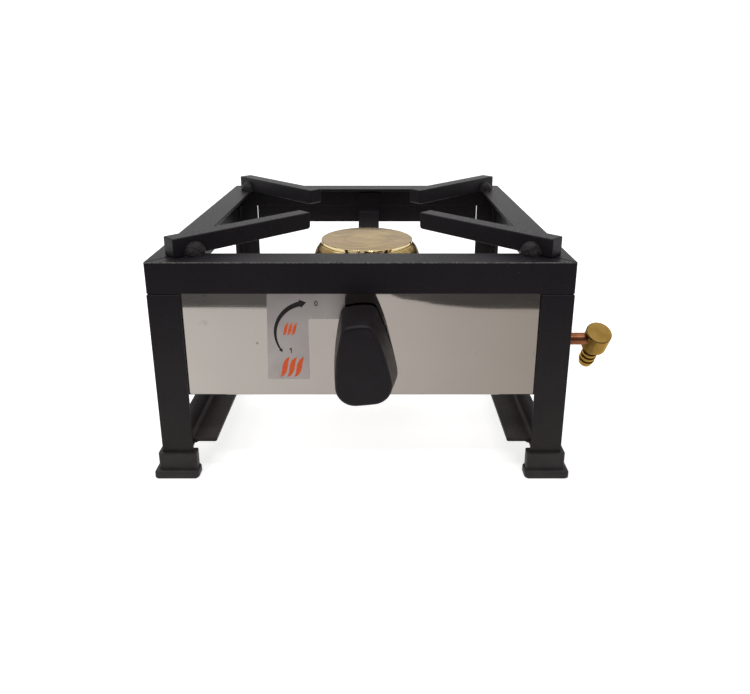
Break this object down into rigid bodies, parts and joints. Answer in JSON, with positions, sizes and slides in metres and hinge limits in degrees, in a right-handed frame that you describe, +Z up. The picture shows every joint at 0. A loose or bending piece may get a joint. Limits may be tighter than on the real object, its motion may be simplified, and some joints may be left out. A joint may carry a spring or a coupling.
{
  "type": "gas stove",
  "caption": "Low square gas stove: angle-iron frame, diagonal pot supports, polished front panel with a pointer knob, brass burner cap and a hose nozzle at the side.",
  "frame": {"origin": "on the floor, midway between the feet", "axes": "+Z up, +X to the right seen from the knob's side, -Y towards the knob"},
  "size_m": [0.3744, 0.3711, 0.198],
  "materials": {
    "black_paint": "fine-textured satin powder coat",
    "stainless": "mirror polished",
    "foot_plastic": "moulded, dull",
    "knob_plastic": "moulded, finely grained",
    "brass_polished": "polished, turned",
    "brass_satin": "satin, turned",
    "copper": "drawn copper tube, dull",
    "cast_iron": "as cast",
    "plated_steel": "zinc plated"
  },
  "bodies": {
    "frame": {"burner_body": "cast_iron", "burner_bolt": "plated_steel", "burner_bracket": "black_paint", "foot_back_left": "foot_plastic", "foot_back_right": "foot_plastic", "foot_front_left": "foot_plastic", "foot_front_right": "foot_plastic", "front_panel": "stainless", "hose_elbow": "brass_satin", "injector": "brass_satin", "inlet_pipe": "copper", "left_cross_strip": "black_paint", "leg_back_left": "black_paint", "leg_back_right": "black_paint", "leg_front_left": "black_paint", "leg_front_right": "black_paint", "pipe_nut": "brass_satin", "pot_support_back_left": "black_paint", "pot_support_back_right": "black_paint", "pot_support_front_left": "black_paint", "pot_support_front_right": "black_paint", "rear_cross_strip": "black_paint", "right_cross_strip": "black_paint", "side_rail_left": "black_paint", "side_rail_right": "black_paint", "top_rail_back": "black_paint", "top_rail_front": "black_paint", "top_rail_left": "black_paint", "top_rail_right": "black_paint", "valve_body": "brass_satin", "valve_lock_nut": "plated_steel", "weld_beads": "black_paint"},
    "knob": {"knob": "knob_plastic", "valve_spindle": "brass_satin"},
    "burner_cap": {"burner_cap": "brass_polished"}
  },
  "joints": [
    {"name": "knob_turn", "type": "hinge", "parent": "frame", "child": "knob", "pos_m": [0.0022, -0.1595, 0.1059], "axis": [0, -1, 0], "range_deg": [0, 180]},
    {"name": "burner_cap_lift", "type": "slide", "parent": "frame", "child": "burner_cap", "axis": [0, 0, 1], "range_m": [0, 0.06]}
  ]
}
